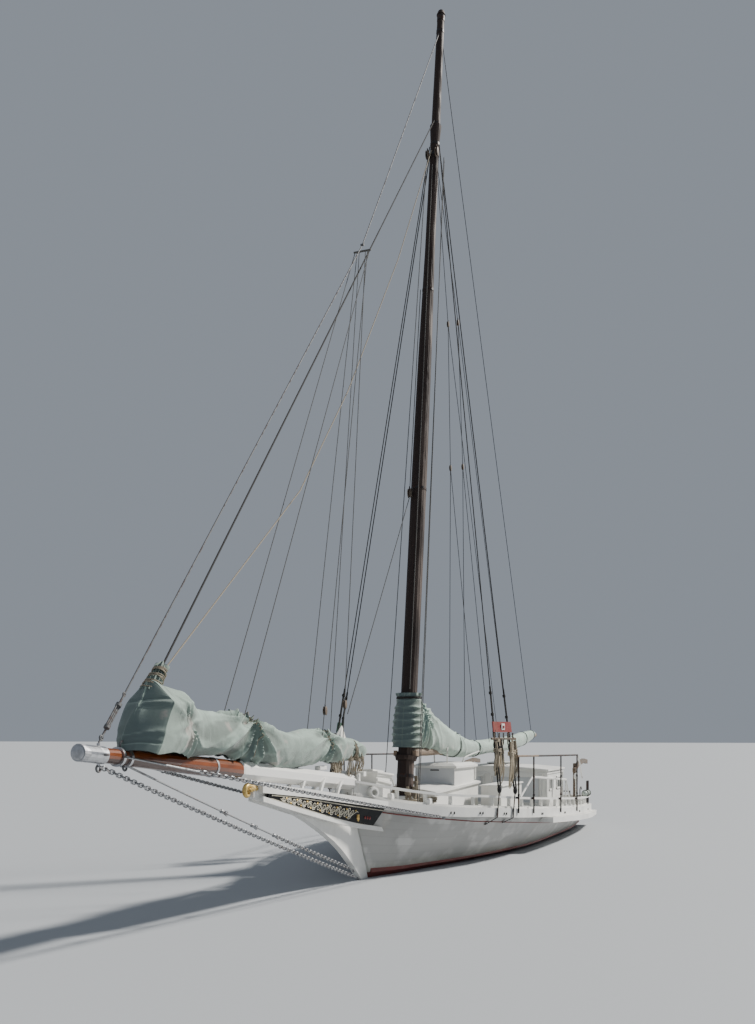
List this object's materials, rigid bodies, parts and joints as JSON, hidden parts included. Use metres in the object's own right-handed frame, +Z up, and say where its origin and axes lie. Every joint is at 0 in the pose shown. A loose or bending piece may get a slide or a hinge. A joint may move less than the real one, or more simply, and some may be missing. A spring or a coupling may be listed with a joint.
{
  "type": "skipjack",
  "caption": "V-bottomed wooden centreboard work boat with raked mast, long bowsprit and covered sails; its boom, jib club, centreboard, rudder, wheel, hatch and doors move.",
  "frame": {"origin": "on the centreline in the plane of the water, 6.2 m aft of the point where the stem meets it", "axes": "+X towards the bow, +Y to port, +Z up"},
  "size_m": [22.6681, 5.0012, 19.7591],
  "materials": {
    "white_paint": "gloss oil paint, weathered",
    "cream_paint": "gloss oil paint, weathered",
    "deck_paint": "matt deck paint",
    "bottom_paint": "matt antifouling paint",
    "varnish": "varnished",
    "mast_wood": "dark oiled, weathered",
    "bare_wood": "bare, weathered",
    "black_paint": "satin paint",
    "iron": "painted black, satin",
    "galvanised": "galvanised, dull",
    "silver_metal": "aluminium paint",
    "gilding": "gold leaf",
    "red_paint": "satin paint",
    "green_paint": "satin paint",
    "canvas": "acrylic canvas, faded",
    "rope": "laid rope, weathered"
  },
  "bodies": {
    "boat": {"hull": "white_paint", "stem_cutwater": "white_paint", "wale_port": "white_paint", "wale_starboard": "white_paint", "stern_guard": "white_paint", "rail_port": "white_paint", "rail_starboard": "white_paint", "stern_rail": "white_paint", "bowsprit_bitt": "white_paint", "trunk": "white_paint", "winder_house": "white_paint", "bench_port": "white_paint", "bench_starboard": "white_paint", "cabin_house": "white_paint", "cabin_roof": "white_paint", "heel_box": "white_paint", "steering_box": "white_paint", "headrail_upper_port": "cream_paint", "headrail_upper_starboard": "cream_paint", "headrail_lower_port": "cream_paint", "headrail_lower_starboard": "cream_paint", "deck": "deck_paint", "keel": "bottom_paint", "bowsprit": "varnish", "mast": "mast_wood", "davit_port": "bare_wood", "davit_starboard": "bare_wood", "trailboard_port": "black_paint", "trailboard_starboard": "black_paint", "shroud_forward_port": "iron", "shroud_after_port": "iron", "shroud_forward_starboard": "iron", "shroud_after_starboard": "iron", "safety_rail_port": "iron", "safety_rail_starboard": "iron", "sheet_horse": "iron", "bobstay_lower": "galvanised", "bobstay_upper": "galvanised", "bowsprit_shroud_port": "galvanised", "bowsprit_shroud_starboard": "galvanised", "jib_stay": "galvanised", "outer_headstay": "galvanised", "bowsprit_cap": "silver_metal", "billet_head": "gilding", "sidelight_board_port": "red_paint", "sidelight_board_starboard": "green_paint"},
    "boom": {"boom": "bare_wood", "main_cover": "canvas", "topping_lift": "black_paint", "main_lazy_jacks": "rope"},
    "jib_club": {"jib_club": "bare_wood", "jib_cover": "canvas", "jib_lazy_jacks": "rope", "jib_halyard": "rope"},
    "centreboard": {"centreboard": "bottom_paint"},
    "rudder": {"rudder": "bottom_paint"},
    "wheel": {"steering_wheel": "bare_wood"},
    "hatch": {"cabin_hatch": "white_paint"},
    "door_port": {"cabin_door_port": "white_paint"},
    "door_starboard": {"cabin_door_starboard": "white_paint"}
  },
  "joints": [
    {"name": "boom_swing", "type": "hinge", "parent": "boat", "child": "boom", "pos_m": [3.6342, 0, 2.15], "axis": [-0.1406, 0, 0.9901], "range_deg": [-50, 50]},
    {"name": "jib_club_swing", "type": "hinge", "parent": "boat", "child": "jib_club", "pos_m": [13.22, 0, 2.415], "axis": [-0.6423, 0, 0.7664], "range_deg": [-30, 30]},
    {"name": "centreboard_swing", "type": "hinge", "parent": "boat", "child": "centreboard", "pos_m": [1.68, 0, -0.8], "axis": [0, -1, 0], "range_deg": [0, 32]},
    {"name": "rudder_turn", "type": "hinge", "parent": "boat", "child": "rudder", "pos_m": [-5.7708, 0, -0.95], "axis": [-0.5125, 0, 0.8587], "range_deg": [-35, 35]},
    {"name": "wheel_turn", "type": "hinge", "parent": "boat", "child": "wheel", "pos_m": [-5.7, 0, 1.24], "axis": [1, 0, 0], "range_deg": [-355, 355]},
    {"name": "hatch_slide", "type": "slide", "parent": "boat", "child": "hatch", "axis": [1, 0, 0], "range_m": [0, 0.7]},
    {"name": "door_port_swing", "type": "hinge", "parent": "boat", "child": "door_port", "pos_m": [-5.0133, 0.36, 1.2], "axis": [0, 0, -1], "range_deg": [0, 110]},
    {"name": "door_starboard_swing", "type": "hinge", "parent": "boat", "child": "door_starboard", "pos_m": [-5.0133, -0.36, 1.2], "axis": [0, 0, 1], "range_deg": [0, 110]}
  ],
  "couplings": [
    {"joint": "wheel_turn", "follows": "rudder_turn", "ratio": 10}
  ]
}
